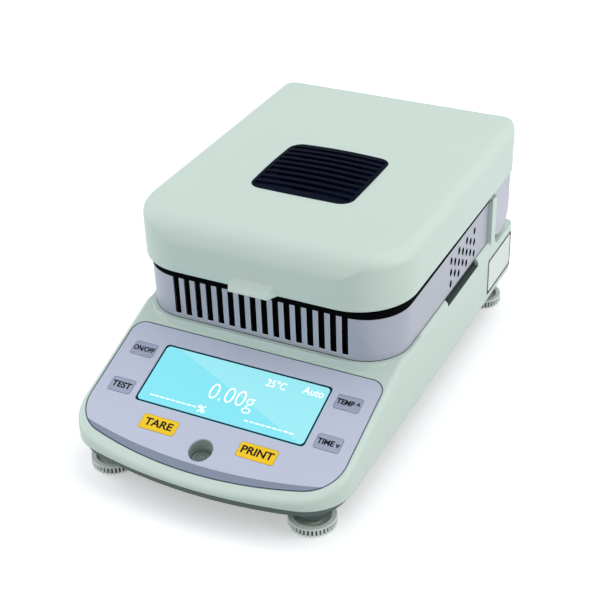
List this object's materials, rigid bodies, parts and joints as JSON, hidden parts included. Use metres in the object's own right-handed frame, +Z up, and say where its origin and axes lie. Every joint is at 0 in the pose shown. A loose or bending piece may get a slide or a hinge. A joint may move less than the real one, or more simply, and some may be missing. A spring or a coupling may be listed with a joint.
{
  "type": "moisture analyzer",
  "caption": "Bench moisture analyzer: sloped base with control panel and display, louvred heating chamber with a weighing pan, hinged halogen lid with vent grille, knurled levelling feet.",
  "frame": {"origin": "on the bench, under the middle of the base in plan, level with the undersides of the foot pads", "axes": "+X to the right as the operator faces it, +Y to the back where the lid hinge is, +Z up"},
  "size_m": [0.205, 0.358, 0.1594],
  "materials": {
    "shell_mint": "fine satin",
    "foot_mint": "satin",
    "housing_lilac": "satin",
    "arm_lilac": "satin",
    "overlay_lilac": "fine texture",
    "stripe_slate": "fine texture",
    "key_grey": "satin",
    "key_yellow": "satin",
    "display_window": "clear",
    "lcd": "smooth",
    "board_green": "smooth",
    "level_cup": "smooth",
    "level_vial": "clear",
    "dark_plastic": "fine texture",
    "pan_dark": "fine texture",
    "grille_navy": "satin",
    "liner_dark": "satin",
    "aluminium": "brushed",
    "cell_aluminium": "milled",
    "steel": "brushed",
    "screw_steel": "zinc plated",
    "brass": "turned",
    "rubber": "matte",
    "ceramic": "matte",
    "reflector": "bright",
    "lamp_glass": "clear",
    "clear_glass": "clear",
    "supply_grey": "satin",
    "socket_black": "matte",
    "plate_silver": "satin"
  },
  "bodies": {
    "base": {"base_cover": "shell_mint", "base_pan": "pan_dark", "panel_overlay": "overlay_lilac", "panel_stripe": "stripe_slate", "display_window": "display_window", "lcd_module": "lcd", "display_board": "board_green", "level_cup": "level_cup", "level_vial": "level_vial", "chamber_housing": "housing_lilac", "chamber_liner": "liner_dark", "chamber_floor_plate": "steel", "draft_shield": "steel", "hinge_housing": "housing_lilac", "hinge_pins": "steel", "load_cell": "cell_aluminium", "load_cell_bracket": "cell_aluminium", "main_board": "board_green", "power_supply": "supply_grey", "power_inlet": "socket_black", "serial_socket": "screw_steel", "rear_panel": "dark_plastic", "rating_plate": "plate_silver", "pan_screws": "screw_steel", "lid_buffers": "rubber", "foot_inserts": "brass"},
    "lid": {"lid_cover": "shell_mint", "vent_grille": "grille_navy", "lid_liner": "arm_lilac", "reflector": "reflector", "halogen_lamp": "lamp_glass", "lamp_holder": "ceramic", "protective_glass": "clear_glass", "glass_ring": "steel", "temperature_probe": "steel", "hinge_bushes": "brass", "lid_screws": "screw_steel"},
    "power_key": {"key_power": "key_grey"},
    "test_key": {"key_test": "key_grey"},
    "temperature_key": {"key_temperature": "key_grey"},
    "time_key": {"key_time": "key_grey"},
    "tare_key": {"key_tare": "key_yellow"},
    "print_key": {"key_print": "key_yellow"},
    "pad_front_left": {"foot_pad_front_left": "rubber"},
    "wheel_front_left": {"foot_wheel_front_left": "foot_mint", "foot_stud_front_left": "steel"},
    "pad_front_right": {"foot_pad_front_right": "rubber"},
    "wheel_front_right": {"foot_wheel_front_right": "foot_mint", "foot_stud_front_right": "steel"},
    "pad_rear_left": {"foot_pad_rear_left": "rubber"},
    "wheel_rear_left": {"foot_wheel_rear_left": "foot_mint", "foot_stud_rear_left": "steel"},
    "pad_rear_right": {"foot_pad_rear_right": "rubber"},
    "wheel_rear_right": {"foot_wheel_rear_right": "foot_mint", "foot_stud_rear_right": "steel"},
    "pan_carrier": {"weighing_stem": "steel", "pan_support": "steel"},
    "pan": {"sample_pan": "aluminium"}
  },
  "joints": [
    {"name": "lid_hinge", "type": "hinge", "parent": "base", "child": "lid", "pos_m": [0, 0.152, 0.0885], "axis": [-1, 0, 0], "range_deg": [0, 80]},
    {"name": "power_press", "type": "slide", "parent": "base", "child": "power_key", "axis": [0, 0.3256, -0.9455], "range_m": [0, 0.0006], "stiffness_N_per_m": 500, "springref_m": -0.0001},
    {"name": "test_press", "type": "slide", "parent": "base", "child": "test_key", "axis": [0, 0.3256, -0.9455], "range_m": [0, 0.0006], "stiffness_N_per_m": 500, "springref_m": -0.0001},
    {"name": "temperature_press", "type": "slide", "parent": "base", "child": "temperature_key", "axis": [0, 0.3256, -0.9455], "range_m": [0, 0.0006], "stiffness_N_per_m": 500, "springref_m": -0.0001},
    {"name": "time_press", "type": "slide", "parent": "base", "child": "time_key", "axis": [0, 0.3256, -0.9455], "range_m": [0, 0.0006], "stiffness_N_per_m": 500, "springref_m": -0.0001},
    {"name": "tare_press", "type": "slide", "parent": "base", "child": "tare_key", "axis": [0, 0.3256, -0.9455], "range_m": [0, 0.0006], "stiffness_N_per_m": 500, "springref_m": -0.0001},
    {"name": "print_press", "type": "slide", "parent": "base", "child": "print_key", "axis": [0, 0.3256, -0.9455], "range_m": [0, 0.0006], "stiffness_N_per_m": 500, "springref_m": -0.0001},
    {"name": "foot_front_left_lift", "type": "slide", "parent": "base", "child": "pad_front_left", "axis": [0, 0, 1], "range_m": [-0.006, 0]},
    {"name": "foot_front_left_turn", "type": "hinge", "parent": "pad_front_left", "child": "wheel_front_left", "pos_m": [-0.0769, -0.1456, 0.004], "axis": [0, 0, 1], "range_deg": [-2161, 0]},
    {"name": "foot_front_right_lift", "type": "slide", "parent": "base", "child": "pad_front_right", "axis": [0, 0, 1], "range_m": [-0.006, 0]},
    {"name": "foot_front_right_turn", "type": "hinge", "parent": "pad_front_right", "child": "wheel_front_right", "pos_m": [0.0769, -0.1456, 0.004], "axis": [0, 0, 1], "range_deg": [-2161, 0]},
    {"name": "foot_rear_left_lift", "type": "slide", "parent": "base", "child": "pad_rear_left", "axis": [0, 0, 1], "range_m": [-0.006, 0]},
    {"name": "foot_rear_left_turn", "type": "hinge", "parent": "pad_rear_left", "child": "wheel_rear_left", "pos_m": [-0.084, 0.1575, 0.004], "axis": [0, 0, 1], "range_deg": [-2161, 0]},
    {"name": "foot_rear_right_lift", "type": "slide", "parent": "base", "child": "pad_rear_right", "axis": [0, 0, 1], "range_m": [-0.006, 0]},
    {"name": "foot_rear_right_turn", "type": "hinge", "parent": "pad_rear_right", "child": "wheel_rear_right", "pos_m": [0.084, 0.1575, 0.004], "axis": [0, 0, 1], "range_deg": [-2161, 0]},
    {"name": "weighing_travel", "type": "slide", "parent": "base", "child": "pan_carrier", "axis": [0, 0, 1], "range_m": [-0.0003, 0], "stiffness_N_per_m": 8000, "springref_m": 0.0001},
    {"name": "pan_lift", "type": "slide", "parent": "pan_carrier", "child": "pan", "axis": [0, 0, 1], "range_m": [0, 0.01]}
  ],
  "couplings": [
    {"joint": "foot_front_left_turn", "follows": "foot_front_left_lift", "rad_per_m": 6283.2},
    {"joint": "foot_front_right_turn", "follows": "foot_front_right_lift", "rad_per_m": 6283.2},
    {"joint": "foot_rear_left_turn", "follows": "foot_rear_left_lift", "rad_per_m": 6283.2},
    {"joint": "foot_rear_right_turn", "follows": "foot_rear_right_lift", "rad_per_m": 6283.2}
  ]
}
